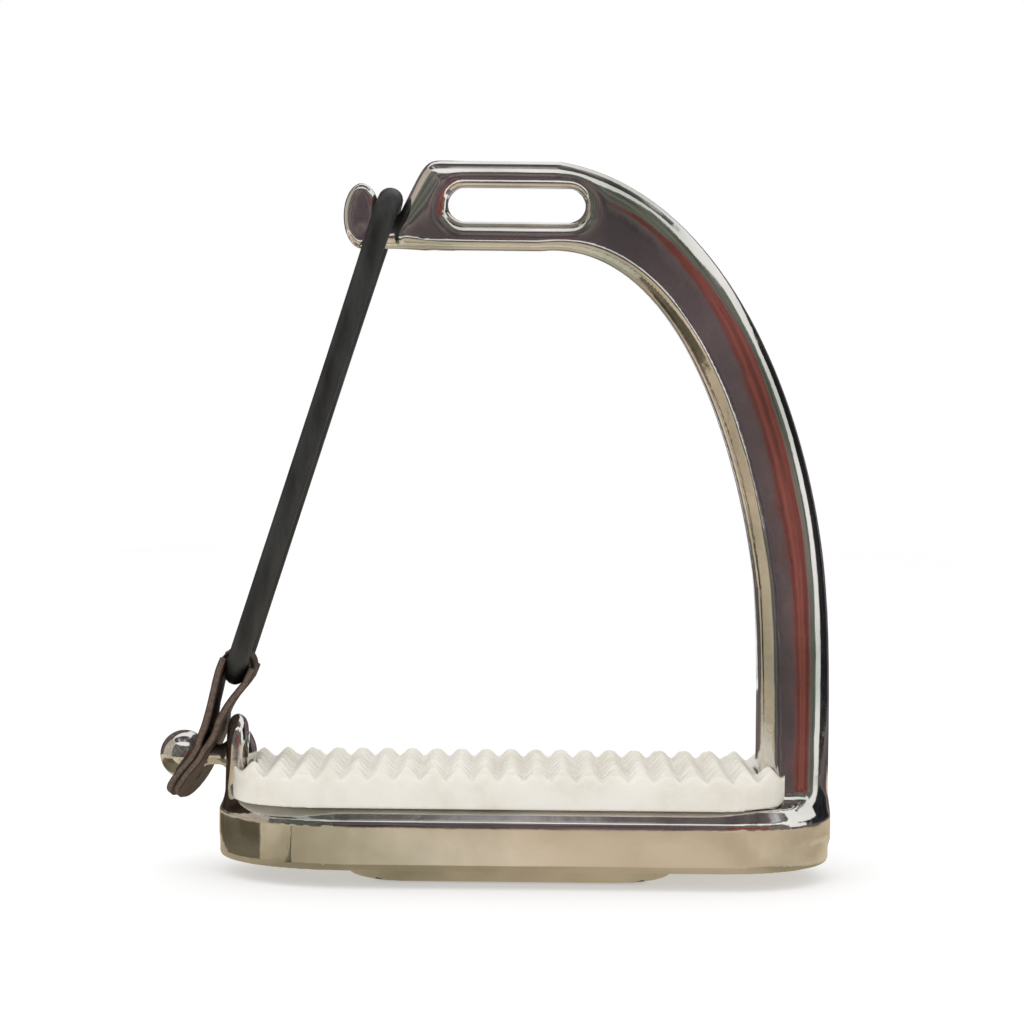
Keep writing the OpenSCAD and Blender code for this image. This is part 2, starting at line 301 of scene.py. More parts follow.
def end_curve(reach, straight, half, power):
    """Quarter of an end, from a straight side to its tip; a power of 2 is an ellipse."""
    turn = np.linspace(math.pi / 2, 0, END_STEPS)
    along = np.maximum(np.cos(turn), 0) ** (2 / power)
    return np.stack([straight + (reach - straight) * along,
                     half * np.sin(turn) ** (2 / power)], axis=1)


def boat_outline(left, right, half, straight_left, straight_right, power):
    """Plan outline with straight sides and rounded ends."""
    ahead = end_curve(right, straight_right, half, power)
    behind = end_curve(left, straight_left, half, power)
    return np.concatenate([ahead, ahead[-2::-1] * [1, -1],
                           behind * [-1, -1], behind[-2::-1] * [-1, 1]])


PLATE_STRAIGHT_LEFT = 38
PLATE_STRAIGHT_RIGHT = 50
PLATE_OUTLINE = boat_outline(-PLATE_LEFT, RIGHT, HALF_WIDTH,
                             PLATE_STRAIGHT_LEFT, PLATE_STRAIGHT_RIGHT, power=2)
BEVEL = 3.0
BEVEL_ROUNDING = 0.4
TOP_EDGE_ROUNDING = 0.5
LOWER_EDGE_ROUNDING = 1.2
COLLAR_LENGTH = 79
COLLAR_WIDTH = 31
COLLAR_ROUNDING = 1.8
COLLAR_FILLET = 0.8
WINDOW_LENGTH = 23
WINDOW_WIDTH = 15
WEB = 12


def windows_distance(x, y):
    """Signed distance to the two windows, either side of the web in the middle."""
    return stadium_distance(np.abs(x) - (WEB + WINDOW_LENGTH) / 2, y,
                            WINDOW_LENGTH, WINDOW_WIDTH)


def plate_field(x, y, z):
    """The bevelled footplate and the shallow collar under it."""
    outline = polygon_distance(x, y, PLATE_OUTLINE)
    middle = (COLLAR_HEIGHT + PLATE_TOP) / 2
    rounding = np.where(z > middle, TOP_EDGE_ROUNDING, LOWER_EDGE_ROUNDING)
    plate = rounded_slab(outline, z - middle, (PLATE_TOP - COLLAR_HEIGHT) / 2, rounding)
    bevel = (outline + z - PLATE_TOP + BEVEL) * DIAGONAL
    plate = smooth_max(plate, bevel, BEVEL_ROUNDING)
    collar = rounded_slab(stadium_distance(x, y, COLLAR_LENGTH, COLLAR_WIDTH),
                          z - COLLAR_HEIGHT, COLLAR_HEIGHT, COLLAR_ROUNDING)
    return smooth_union(plate, collar, COLLAR_FILLET)


LUG_THICKNESS = 5.4
LUG_WIDTH = 12
LUG_TOP = 37.5
LUG_FOOT_Z = 8
LUG_TAPER = 0.5
LUG_ROUNDING = 2.5


def lug_field(x, y, z):
    """The upright lug for the stud, with a round crown, rooted inside the plate."""
    crown_z = LUG_TOP - LUG_WIDTH / 2
    outline = np.hypot(y, np.maximum(z - crown_z, 0)) - LUG_WIDTH / 2
    outline = np.maximum(outline, LUG_FOOT_Z - z)
    taper = LUG_TAPER * np.clip((z - PLATE_TOP) / (LUG_TOP - PLATE_TOP), 0, 1)
    middle = LUG_INNER - LUG_THICKNESS / 2
    return rounded_slab(outline, x - middle, LUG_THICKNESS / 2 - taper, LUG_ROUNDING)


SADDLE_Z = 153.2
SADDLE_RADIUS = 4.1
SADDLE_FROM_X = -35.8
SADDLE_TO_X = -22
HORN_X = -36.8
HORN_TOP = 164.5
HORN_HALF_WIDTH = 4.3
HORN_HALF_DEPTH = 3.3
HORN_ROUNDING = 1.8
HORN_FILLET = 0.5


def hook_field(x, y, z):
    """The saddle that the ring lies over, and the horn that keeps it there."""
    flat = SADDLE_RADIUS / HORN_HALF_DEPTH
    saddle = capsule_distance(x, y * flat, z, (SADDLE_FROM_X, 0, SADDLE_Z),
                              (SADDLE_TO_X, 0, SADDLE_Z), SADDLE_RADIUS)
    # The horn is an upright oval button, flattened front and back
    horn_foot = SADDLE_Z - SADDLE_RADIUS
    button = ellipse_distance(x - HORN_X, z - (HORN_TOP + horn_foot) / 2,
                              HORN_HALF_WIDTH, (HORN_TOP - horn_foot) / 2)
    horn = rounded_slab(button, y, HORN_HALF_DEPTH, HORN_ROUNDING)
    return smooth_union(saddle, horn, HORN_FILLET)


HOOK_FILLET = 1.2
LUG_FILLET = 3.0
ARM_FOOT_FILLET = 4.5
WINDOW_EDGE_ROUNDING = 0.6
WINDOW_OVERSHOOT = 2


def frame_field(x, y, z):
    """The whole casting."""
    upper = smooth_union(arm_field(x, y, z), hook_field(x, y, z), HOOK_FILLET)
    base = smooth_union(plate_field(x, y, z), lug_field(x, y, z), LUG_FILLET)
    body = smooth_union(upper, base, ARM_FOOT_FILLET)
    windows = np.maximum(windows_distance(x, y), z - PLATE_TOP - WINDOW_OVERSHOOT)
    return smooth_cut(body, windows, WINDOW_EDGE_ROUNDING)


def build_frame(step):
    """The casting, kept inside its CAD box."""
    points, quads = skin_field(frame_field, FRAME_LOW, FRAME_HIGH, step)
    points = np.clip(points, FRAME_LOW, FRAME_HIGH)
    return mesh_object("steel_casting", points, quads)

# ---------------------------------------------------------------- the tread pad

PYRAMID_PITCH = 6.1
PYRAMID_HEIGHT = 3.4
# How much the valleys, crests and feet of the pyramids are softened, in shares of their height
VALLEY_BLEND = 0.16
CREST_AT = 0.92
CREST_BLEND = 0.3
FOOT_AT = 0.04
FOOT_BLEND = 0.25
# Cosine of the slope of the pyramids' sides, which turns a height into a distance
SLOPE_COSINE = 0.67
PAD_WALL = 6.3
PAD_REACH = 66.8
PAD_STRAIGHT_LEFT = 42
PAD_STRAIGHT_RIGHT = 45
PAD_HALF_WIDTH = PAD_HIGH[1]
PAD_EDGE_ROUNDING = 0.5
# Clearance to the casting, under the block, round the plugs and in the notch for the lug
PAD_GAP = 0.35
BLOCK_GAP = 0.05
PLUG_GAP = 0.3
NOTCH_GAP = 0.4
PLUG_FOOT_Z = 1
PLUG_TOP_Z = 21
PLUG_ROUNDING = 0.8
NOTCH_ROUNDING = 0.4


def ridges(u, offset):
    """Height of a zigzag across one direction, from 0 in the valleys to 1 on the crests."""
    return 1 - np.abs((u / PYRAMID_PITCH + offset + 0.5) % 1 - 0.5) * 2


def pyramids(x, y):
    """Height of the tread's pyramids, with crests on the line x = 0 and a valley along y = 0."""
    slope = smooth_union(ridges(x, 0), ridges(y, 0.5), VALLEY_BLEND)
    blunt = smooth_union(slope, CREST_AT, CREST_BLEND)
    return PYRAMID_HEIGHT * smooth_max(blunt, FOOT_AT, FOOT_BLEND)


PAD_OUTLINE = boat_outline(PAD_REACH, PAD_REACH, PAD_HALF_WIDTH,
                           PAD_STRAIGHT_LEFT, PAD_STRAIGHT_RIGHT, power=2.5)
LUG_NOTCH_X = STUD_HIGH[0] + NOTCH_GAP
LUG_NOTCH_HALF = LUG_WIDTH / 2 + NOTCH_GAP


def pad_field(x, y, z):
    """The tread block with its pyramids and plugs, cut clear of the casting and the lug."""
    outline = polygon_distance(x, y, PAD_OUTLINE)
    top = (z - PLATE_TOP - PAD_WALL - pyramids(x, y)) * SLOPE_COSINE
    block = smooth_max(outline, top, PAD_EDGE_ROUNDING)
    block = np.maximum(block, PLATE_TOP + BLOCK_GAP - z)
    plug = rounded_slab(windows_distance(x, y) + PLUG_GAP, z - (PLUG_FOOT_Z + PLUG_TOP_Z) / 2,
                        (PLUG_TOP_Z - PLUG_FOOT_Z) / 2, PLUG_ROUNDING)
    pad = np.maximum(np.minimum(block, plug), PAD_GAP - frame_field(x, y, z))
    notch = np.maximum(x - LUG_NOTCH_X, np.abs(y) - LUG_NOTCH_HALF)
    return smooth_cut(pad, notch, NOTCH_ROUNDING)


def build_pad(step):
    """The tread pad, kept inside its CAD box."""
    points, quads = skin_field(pad_field, PAD_LOW, PAD_HIGH, step)
    return mesh_object("rubber_tread", np.clip(points, PAD_LOW, PAD_HIGH), quads)

# ---------------------------------------------------------------- the rubber ring

RING_HALF_TOP = 7.4
RING_HALF_FOOT = 8.4
RING_RADIUS = 2.7
RING_SIDES = 20
STRAND_STEPS = 60
ARC_STEPS = 24
# Stretched thinner along its strands, fully from a third of the way down, and pressed wider
# where it bends over the hook
STRETCH_THINNING = 0.22
THINNING_RATE = 3
PRESSED_WIDER = 0.08
PRESSED_OVER = 9


def ring_line(strand_steps, arc_steps):
    """Closed middle line of the ring in its own plane: front-to-back place and drop."""
    drop = np.linalg.norm(RING_TOP - RING_FOOT)
    arc = np.linspace(0, np.pi, arc_steps + 1)
    top = np.stack([RING_HALF_TOP * np.cos(arc), RING_HALF_TOP * (1 - np.sin(arc))], 1)
    foot = np.stack([-RING_HALF_FOOT * np.cos(arc),
                     drop - RING_HALF_FOOT * (1 - np.sin(arc))], 1)
    t = np.linspace(0, 1, strand_steps + 1)[1:-1, None]
    down = top[-1] * (1 - t) + foot[0] * t
    up = foot[-1] * (1 - t) + top[0] * t
    return np.concatenate([top, down, foot, up]), drop


def build_ring():
    """A round section swept along the ring's middle line."""
    line, drop = ring_line(STRAND_STEPS, ARC_STEPS)
    ahead = np.roll(line, -1, 0) - np.roll(line, 1, 0)
    ahead /= np.linalg.norm(ahead, axis=1)[:, None]
    fall = line[:, 1] / drop
    radius = RING_RADIUS - STRETCH_THINNING * np.clip(fall * THINNING_RATE, 0, 1)
    wider = 1 + PRESSED_WIDER * np.exp(-(line[:, 1] / PRESSED_OVER) ** 2)
    angle = np.linspace(0, 2 * np.pi, RING_SIDES, endpoint=False)
    across = radius[:, None] * np.cos(angle)
    up = (radius * wider)[:, None] * np.sin(angle)
    y = line[:, :1] - ahead[:, 1:] * across
    s = line[:, 1:] + ahead[:, :1] * across
    down = (RING_FOOT - RING_TOP) / drop
    normal = np.array([-down[2], 0, down[0]])
    points = (RING_TOP + s[..., None] * down + y[..., None] * np.array([0, 1, 0])
              + up[..., None] * normal).reshape(-1, 3)
    quads = tube_quads(len(line), RING_SIDES, closed=True)
    # The section turns against the line's direction, so each face is turned over to look out
    return mesh_object("rubber_loop", points, quads[:, [0, 3, 2, 1]])

# ---------------------------------------------------------------- the leather tab

LEATHER = 1.75
LEATHER_ROUNDING = 0.35
HALF_LAYER_GAP = 0.02
TAB_HALF_WIDTH = 9.5
TAB_TILT = math.radians(20.5)
# Half the room that the fold leaves for the ring, and how far its arc is centred over the
# ring's foot
FOLD_GAP = 2.6
FOLD_RISE = 2.2
# The fold is narrower than the tab, and the tab's ears stand up beside it, past a narrow slit.
# The tips of the ears are this far from the fold's crest, along the strip.
NECK_HALF = 4.4
SLIT = 0.4
EAR_TOP = 5.4
EAR_LEAN = 0.04
EAR_ROUNDING = 2.2
EAR_TAPER = 0.6
BUTTONHOLE_RADIUS = 3.1
BUTTONHOLE_SLIT_HALF = 0.25
BUTTONHOLE_SLIT_REACH = 3.0
BUTTONHOLE_SLIT_AT = 3.4
# The lower end, below the bend
BEND_AT = 21
BEND_SOFTNESS = 3
TAIL = 11
TAIL_BEND = math.radians(14)
TAIL_ROUND_LENGTH = 11
TAIL_ROUND_POWER = 2.4
TAIL_NARROWING = 0.97
EDGE_WAVE = 0.12
TWIST = math.radians(17)
TWIST_FROM = 9
STUD_CLEARANCE = 0.12

# Heights below the ring's foot on the layer's way down, and how far it stands off the middle.
# The layer beside the lug closes up above it; the outer one comes down straighter.
LUG_SIDE_LEG = {"narrowing": 1.1, "under_ring": 3.2, "hang": 0.2, "hang_at": 6.2,
                "stand_off": 0, "closed_at": 10.5}
OUTER_LEG = {"narrowing": 0.5, "under_ring": 3.2, "hang": 1.7, "hang_at": 7,
             "stand_off": 0.8, "closed_at": 12.5}
# The layers part a little round the stud's neck
NECK_BULGE = 0.6
BULGE_FROM = 13.5
BULGE_TO = 15.5


def tab_path(side):
    """Side view of one layer's middle line, from the fold's crest to the tail."""
    leg = LUG_SIDE_LEG if side > 0 else OUTER_LEG
    r = FOLD_GAP + LEATHER / 2
    half = LEATHER / 2 + HALF_LAYER_GAP
    arc = np.radians(np.linspace(90, 0, 16))
    crest = np.stack([side * r * np.cos(arc), FOLD_RISE + r * np.sin(arc)], 1)
    closed = (side * (half + leg["stand_off"]), -leg["closed_at"])
    way_down = bezier([(side * r, 0), (side * (r - leg["narrowing"]), -leg["under_ring"]),
                       (side * (half + leg["hang"]), -leg["hang_at"]), closed], 16)
    bend_from = np.array([side * half, -BEND_AT + BEND_SOFTNESS])
    bulge = bezier([closed, (side * (half + NECK_BULGE), -BULGE_FROM),
                    (side * (half + NECK_BULGE), -BULGE_TO), bend_from], 8)
    outward = np.array([-math.sin(TAIL_BEND), -math.cos(TAIL_BEND)])
    corner = bend_from - [0, BEND_SOFTNESS]
    bend = bezier([bend_from, corner, corner, corner + BEND_SOFTNESS * outward], 10)
    tail = corner + outward * (TAIL + 1)
    return np.concatenate([crest, way_down, bulge, bend, [tail]])


STEP_EITHER_WAY = 0.3


def along_path(side, distance):
    """Point and direction on a layer's middle line at a distance from the crest, and its length."""
    path = tab_path(side)
    steps = np.linalg.norm(np.diff(path, axis=0), axis=1)
    run = np.concatenate([[0], np.cumsum(steps)])
    place = [np.interp(distance, run, path[:, i]) for i in (0, 1)]
    ahead = [np.interp(distance + STEP_EITHER_WAY, run, path[:, i]) for i in (0, 1)]
    behind = [np.interp(distance - STEP_EITHER_WAY, run, path[:, i]) for i in (0, 1)]
    way = np.stack(ahead, -1) - np.stack(behind, -1)
    return np.stack(place, -1), way / np.linalg.norm(way, axis=-1, keepdims=True), run[-1]


# Where the ears begin, and the tab's length either side of the fold, both from the crest
EAR_FROM = 6.75 + FOLD_RISE
TAB_REACH = along_path(1, 0.0)[2] - 0.4


def hole_at(side):
    """How far from the crest a layer crosses the stud's axis."""
    distance = np.linspace(15, 35, 400)
    place = along_path(side, distance)[0]
    height = (RING_FOOT[2] - place[:, 0] * math.sin(TAB_TILT)
              + place[:, 1] * math.cos(TAB_TILT))
    return float(np.interp(-BALL[2], -height, distance))


def beside_neck(a, b):
    """Whether a place of the strip is near the crest and wider out than the fold."""
    return np.maximum(NECK_HALF - b, a - EAR_FROM) < 0


def ear_outline(a, b):
    """What is left of the strip beside the neck: an ear on either side, and the neck's own edge."""
    rise = np.clip((EAR_FROM - a) / (EAR_FROM - EAR_TOP), 0, 1)
    ear = np.maximum(b - TAB_HALF_WIDTH + EAR_ROUNDING * rise ** 2, EAR_TOP - a)
    ear = np.maximum(ear, NECK_HALF + SLIT - b + EAR_TAPER * rise)
    return np.minimum(ear, b - NECK_HALF)


def tab_field(s, y, t):
    """The strip laid flat: length either side of the fold, width and thickness."""
    a = np.abs(s)
    b = np.abs(y)
    tail = np.clip((a - TAB_REACH + TAIL_ROUND_LENGTH) / TAIL_ROUND_LENGTH, 0, 1)
    wave = EDGE_WAVE * np.sin(s * 0.9 + y * 0.2)
    narrowing = TAIL_NARROWING * tail ** TAIL_ROUND_POWER
    half = TAB_HALF_WIDTH * np.sqrt(1 - narrowing) + wave
    outline = np.maximum(b - half, a - TAB_REACH)
    outline = np.where(beside_neck(a, b), np.maximum(outline, ear_outline(a, b)), outline)
    hole = np.where(s > 0, np.hypot(a - HOLES[1], y), np.hypot(a - HOLES[-1], y))
    slit = np.maximum(b - BUTTONHOLE_SLIT_HALF,
                      np.abs(a - HOLES[1] - BUTTONHOLE_SLIT_AT) - BUTTONHOLE_SLIT_REACH)
    outline = np.maximum(outline, -np.minimum(hole - BUTTONHOLE_RADIUS, slit))
    return rounded_slab(outline, t, LEATHER / 2, LEATHER_ROUNDING)


HOLES = {side: hole_at(side) for side in (1, -1)}


def bend_tab(flat):
    """Takes points of the flat strip to their places in the folded tab."""
    s, y, t = flat.T
    side = np.where(s > 0, 1.0, -1.0)
    right, right_way, _ = along_path(1, np.abs(s))
    left, left_way, _ = along_path(-1, np.abs(s))
    place = np.where(s[:, None] > 0, right, left)
    way = np.where(s[:, None] > 0, right_way, left_way)
    in_ear = (np.abs(y) > NECK_HALF + SLIT / 2) & (np.abs(s) < EAR_FROM)
    above = EAR_FROM - np.abs(s)
    ear_x = side * (FOLD_GAP + LEATHER / 2 + EAR_LEAN * above)
    place = np.where(in_ear[:, None], np.stack([ear_x, above], 1), place)
    way = np.where(in_ear[:, None], np.array([0.0, -1.0]), way)
    normal = side[:, None] * np.stack([-way[:, 1], way[:, 0]], 1)
    x, z = (place + normal * t[:, None]).T
    # The tab's lower end is twisted, so that its inner face turns to the front
    twist = -TWIST * np.clip((-z - TWIST_FROM) / (BEND_AT + TAIL - TWIST_FROM), 0, 1) ** 1.2
    x, y = x * np.cos(twist) - y * np.sin(twist), x * np.sin(twist) + y * np.cos(twist)
    points = np.stack([
        RING_FOOT[0] + x * math.cos(TAB_TILT) + z * math.sin(TAB_TILT), y,
        RING_FOOT[2] - x * math.sin(TAB_TILT) + z * math.cos(TAB_TILT)
    ], 1)
    off = points - BALL
    distance = np.linalg.norm(off, axis=1, keepdims=True)
    clear = BALL_RADIUS + STUD_CLEARANCE
    return np.where(distance < clear, BALL + off / distance * clear, points)


SKIN_MARGIN = 0.5
# A face belongs to the cut edge when most of its corners are this far inside the two faces
EDGE_DEPTH = 0.25
EDGE_SHARE = 0.6


def build_tab(step):
    """The strip skinned flat and then folded, with the cut edge in a material of its own."""
    high = np.array([TAB_REACH + SKIN_MARGIN, TAB_HALF_WIDTH + SKIN_MARGIN, LEATHER / 2])
    flat, quads = skin_field(tab_field, -high, high, step)
    tab = mesh_object("buttoned_tab", bend_tab(flat), quads)
    edge = (np.abs(flat[:, 2]) < LEATHER / 2 - EDGE_DEPTH)[quads].mean(1) > EDGE_SHARE
    tab.data.materials.append(leather_face())
    tab.data.materials.append(leather_edge())
    tab.data.polygons.foreach_set("material_index", edge.astype(np.int32))
    return tab

# ---------------------------------------------------------------- the ball stud

NECK_RADIUS = 2.45
HEAD_RADIUS = 5.8
SHOULDER = 0.9
STUD_SIDES = 48
WELD_DISTANCE = 0.02


def stud_profile():
    """Half section of the stud from left to right, as places along its axis and radii."""
    shoulder_x = LUG_INNER - LUG_THICKNESS
    waist = math.asin(NECK_RADIUS / BALL_RADIUS)
    ball = np.linspace(0, math.pi - waist * 1.15, 28)
    profile = [(BALL[0] - BALL_RADIUS * math.cos(a), BALL_RADIUS * math.sin(a)) for a in ball]
    profile += [(BALL[0] + BALL_RADIUS * 1.02, NECK_RADIUS), (shoulder_x - 1.6, NECK_RADIUS),
                (shoulder_x - 0.8, NECK_RADIUS + 0.25), (shoulder_x, NECK_RADIUS + SHOULDER),
                (shoulder_x + 1, NECK_RADIUS + SHOULDER), (shoulder_x + 1, NECK_RADIUS),
                (LUG_INNER - 0.1, NECK_RADIUS), (LUG_INNER - 0.05, HEAD_RADIUS - 0.4)]
    dome_radius = (HEAD_RADIUS ** 2 + HEAD_HEIGHT ** 2) / (2 * HEAD_HEIGHT)
    dome = np.linspace(math.asin(HEAD_RADIUS / dome_radius) * 0.97, 0, 12)
    profile += [(STUD_HIGH[0] - dome_radius * (1 - math.cos(a)), dome_radius * math.sin(a))
                for a in dome]
    return profile


def build_stud():
    """A turned stud: ball, waist, a small shoulder against the lug and a domed far end."""
    profile = stud_profile()
    turn = np.linspace(0, 2 * np.pi, STUD_SIDES, endpoint=False)
    points = np.array([[(x, r * math.cos(a), BALL[2] + r * math.sin(a)) for a in turn]
                       for x, r in profile]).reshape(-1, 3)
    stud = mesh_object("turned_stud", points, tube_quads(len(profile), STUD_SIDES))
    # The ends of the profile are on the axis, where a whole ring of points is one point
    weld = stud.modifiers.new("weld", "WELD")
    weld.merge_threshold = WELD_DISTANCE * MM
    return stud

# ---------------------------------------------------------------- materials

def new_material(name, **values):
    """A material with its shader's own sockets set; an underscore stands for a space."""
    material = bpy.data.materials.new(name)
    material.use_nodes = True
    tree = material.node_tree
    shader = tree.nodes["Principled BSDF"]
    for socket, value in values.items():
        shader.inputs[socket.replace("_", " ")].default_value = value
    return material, tree, shader


def noise(tree, scale, detail=4.0, roughness=0.5, stretch=(1, 1, 1)):
    """Noise over the object's own coordinates; scale is cycles per metre."""
    place = tree.nodes.new("ShaderNodeTexCoord")
    mapping = tree.nodes.new("ShaderNodeMapping")
    mapping.inputs["Scale"].default_value = stretch
    texture = tree.nodes.new("ShaderNodeTexNoise")
    texture.inputs["Scale"].default_value = scale
    texture.inputs["Detail"].default_value = detail
    texture.inputs["Roughness"].default_value = roughness
    tree.links.new(place.outputs["Object"], mapping.inputs["Vector"])
    tree.links.new(mapping.outputs["Vector"], texture.inputs["Vector"])
    return texture.outputs["Fac"]


def cells(tree, scale):
    """Distance to the nearest of scattered points, which gives leather its grain."""
    place = tree.nodes.new("ShaderNodeTexCoord")
    texture = tree.nodes.new("ShaderNodeTexVoronoi")
    texture.inputs["Scale"].default_value = scale
    tree.links.new(place.outputs["Object"], texture.inputs["Vector"])
    return texture.outputs["Distance"]


def ramp(tree, value, *stops):
    """Turns a value into a colour by stops of position and colour."""
    node = tree.nodes.new("ShaderNodeValToRGB")
    elements = node.color_ramp.elements
    while len(elements) < len(stops):
        elements.new(0.5)
    for element, (position, colour) in zip(elements, stops):
        element.position = position
        element.color = (*colour, 1)
    tree.links.new(value, node.inputs["Fac"])
    return node.outputs["Color"]


def spread(tree, value, low, high):
    """Takes noise from about 0.3..0.7 to a range of its own."""
    node = tree.nodes.new("ShaderNodeMapRange")
    for socket, number in (("From Min", 0.3), ("From Max", 0.7), ("To Min", low), ("To Max", high)):
        node.inputs[socket].default_value = number
    tree.links.new(value, node.inputs["Value"])
    return node.outputs["Result"]


def bump(tree, shader, *layers):
    """Stacks height layers, each with a depth in metres."""
    normal = None
    for height, depth in layers:
        node = tree.nodes.new("ShaderNodeBump")
        node.inputs["Distance"].default_value = depth
        tree.links.new(height, node.inputs["Height"])
        if normal is not None:
            tree.links.new(normal, node.inputs["Normal"])
        normal = node.outputs["Normal"]
    tree.links.new(normal, shader.inputs["Normal"])


STEEL_LIGHT = 0.82
STEEL_DULL = (0.53, 0.57, 0.54)


def polished_steel(name, tint):
    """Worn polish: clouded patches, faint waves from hand finishing and fine scratches."""
    material, tree, shader = new_material(name, Metallic=1.0)
    cast = noise(tree, 28, 5)
    light = tuple(STEEL_LIGHT * c for c in tint)
    dull = tuple(share * c for share, c in zip(STEEL_DULL, tint))
    tree.links.new(ramp(tree, cast, (0.38, dull), (0.6, light)), shader.inputs["Base Color"])
    haze = noise(tree, 160, 6, 0.65)
    tree.links.new(spread(tree, haze, 0.05, 0.14), shader.inputs["Roughness"])
    scratches = noise(tree, 900, 3, 0.6, (0.15, 1, 1))
    bump(tree, shader, (noise(tree, 40, 2), 0.0003), (noise(tree, 170, 3), 0.00005),
         (scratches, 0.000003))
    return material


def tread_rubber():
    """Off-white rubber with faint stains and a fine grain."""
    material, tree, shader = new_material("tread_rubber", Subsurface_Weight=0.35,
                                          Subsurface_Scale=0.002,
                                          Subsurface_Radius=(1.0, 0.95, 0.85))
    stain = noise(tree, 60, 6, 0.6)
    colours = ((0.30, (0.68, 0.635, 0.55)), (0.5, (0.77, 0.74, 0.67)), (0.7, (0.80, 0.78, 0.72)))
    tree.links.new(ramp(tree, stain, *colours), shader.inputs["Base Color"])
    tree.links.new(spread(tree, noise(tree, 500, 4), 0.5, 0.72), shader.inputs["Roughness"])
    bump(tree, shader, (noise(tree, 350, 5), 0.0002), (noise(tree, 2500, 3), 0.00003))
    return material


def ring_rubber():
    """Black rubber with a grey bloom drawn out up and down the ring."""
    material, tree, shader = new_material("ring_rubber")
    bloom = noise(tree, 220, 5, 0.6, (1, 1, 0.2))
    colours = ((0.35, (0.008, 0.009, 0.009)), (0.65, (0.028, 0.031, 0.029)))
    tree.links.new(ramp(tree, bloom, *colours), shader.inputs["Base Color"])
    tree.links.new(spread(tree, bloom, 0.38, 0.55), shader.inputs["Roughness"])
    bump(tree, shader, (noise(tree, 700, 4, 0.5, (1, 1, 0.15)), 0.0002))
    return material


def leather_face():
    """Dark brown leather, worn lighter in patches, with a pebbled grain."""
    material, tree, shader = new_material("tab_leather")
    wear = noise(tree, 130, 6, 0.62)
    colours = ((0.32, (0.022, 0.013, 0.009)), (0.52, (0.05, 0.029, 0.02)),
               (0.72, (0.115, 0.07, 0.046)))
    tree.links.new(ramp(tree, wear, *colours), shader.inputs["Base Color"])
    tree.links.new(spread(tree, wear, 0.42, 0.62), shader.inputs["Roughness"])
    bump(tree, shader, (cells(tree, 1100), 0.00012), (noise(tree, 300, 4), 0.0003))
    return material


def leather_edge():
    """The raw cut edge, paler and fibrous."""
    material, tree, shader = new_material("tab_leather_edge", Roughness=0.8)
    fibres = noise(tree, 1500, 5, 0.6)
    colours = ((0.3, (0.065, 0.042, 0.03)), (0.7, (0.165, 0.115, 0.085)))
    tree.links.new(ramp(tree, fibres, *colours), shader.inputs["Base Color"])
    bump(tree, shader, (fibres, 0.0003))
    return material


def glowing_floor_paint():
    """Pale floor with a painted glow: an emission that lights it from within, so its shadows stay
    light.
    """
    material, tree, shader = new_material("glowing_floor_paint", Roughness=0.9)
    patches = noise(tree, 3, 2)
    colours = ((0.3, (0.56, 0.56, 0.56)), (0.7, (0.60, 0.60, 0.60)))
    tree.links.new(ramp(tree, patches, *colours), shader.inputs["Base Color"])
    # Painted light: the floor's emission lightens the shadows cast on it
    shader.inputs["Emission Color"].default_value = (1, 1, 1, 1)
    shader.inputs["Emission Strength"].default_value = 0.42
    return material

# ---------------------------------------------------------------- floor, light and camera

def rectangle(name, width, depth, location, facing, turn=0):
    """A flat card or floor whose front looks along a direction, turned in its own plane."""
    w, d = width / 2, depth / 2
    mesh = bpy.data.meshes.new(name)
    mesh.from_pydata([(-w, -d, 0), (w, -d, 0), (w, d, 0), (-w, d, 0)], [], [(0, 1, 2, 3)])
    obj = bpy.data.objects.new(name, mesh)
    bpy.context.collection.objects.link(obj)
    obj.location = location
    obj.rotation_mode = "QUATERNION"
    spin = Quaternion((0, 0, 1), math.radians(turn))
    obj.rotation_quaternion = Vector(facing).to_track_quat("Z", "Y") @ spin
    return obj


def area_light(name, size, location, target, energy):
    """A soft rectangular light aimed at a point."""
    data = bpy.data.lights.new(name, "AREA")
    data.shape = "RECTANGLE"
    data.size, data.size_y = size
    data.energy = energy
    light = bpy.data.objects.new(name, data)
    bpy.context.collection.objects.link(light)
    light.location = location
    light.rotation_mode = "QUATERNION"
    light.rotation_quaternion = (Vector(target) - Vector(location)).to_track_quat("-Z", "Y")
    return light


def reflected_card(name, size, location, facing, colours, scale=7, turn=0):
    """A glowing card that only reflections see, so polished steel has something to mirror: its
    colours are emission, painted light.
    """
    card = rectangle(name, *size, location, facing, turn)
    material, tree, shader = new_material(name, Base_Color=(0, 0, 0, 1),
                                          Specular_IOR_Level=0, Emission_Strength=1)
    blotches = noise(tree, scale, 3, 0.5, (1, 0.4, 1))
    # The card's colour is painted light: it glows as emission
    tree.links.new(ramp(tree, blotches, *colours), shader.inputs["Emission Color"])
    card.data.materials.append(material)
    card.visible_camera = False
    card.visible_diffuse = False
    card.visible_transmission = False
    card.visible_shadow = False


ROOM_RADIUS = 1.2


def room_wall(name, start, stop, colours, base=-0.1, height=1.35):
    """An upright card between two compass directions, 0 being the camera's side."""
    a, b = (math.radians(angle) for angle in (start, stop))
    left = Vector((math.sin(a), -math.cos(a), 0)) * ROOM_RADIUS
    right = Vector((math.sin(b), -math.cos(b), 0)) * ROOM_RADIUS
    middle = (left + right) / 2
    middle.z = base + height / 2
    width = (right - left).length
    facing = Vector((-middle.x, -middle.y, 0))
    reflected_card(name, (width, height), middle, facing, colours)
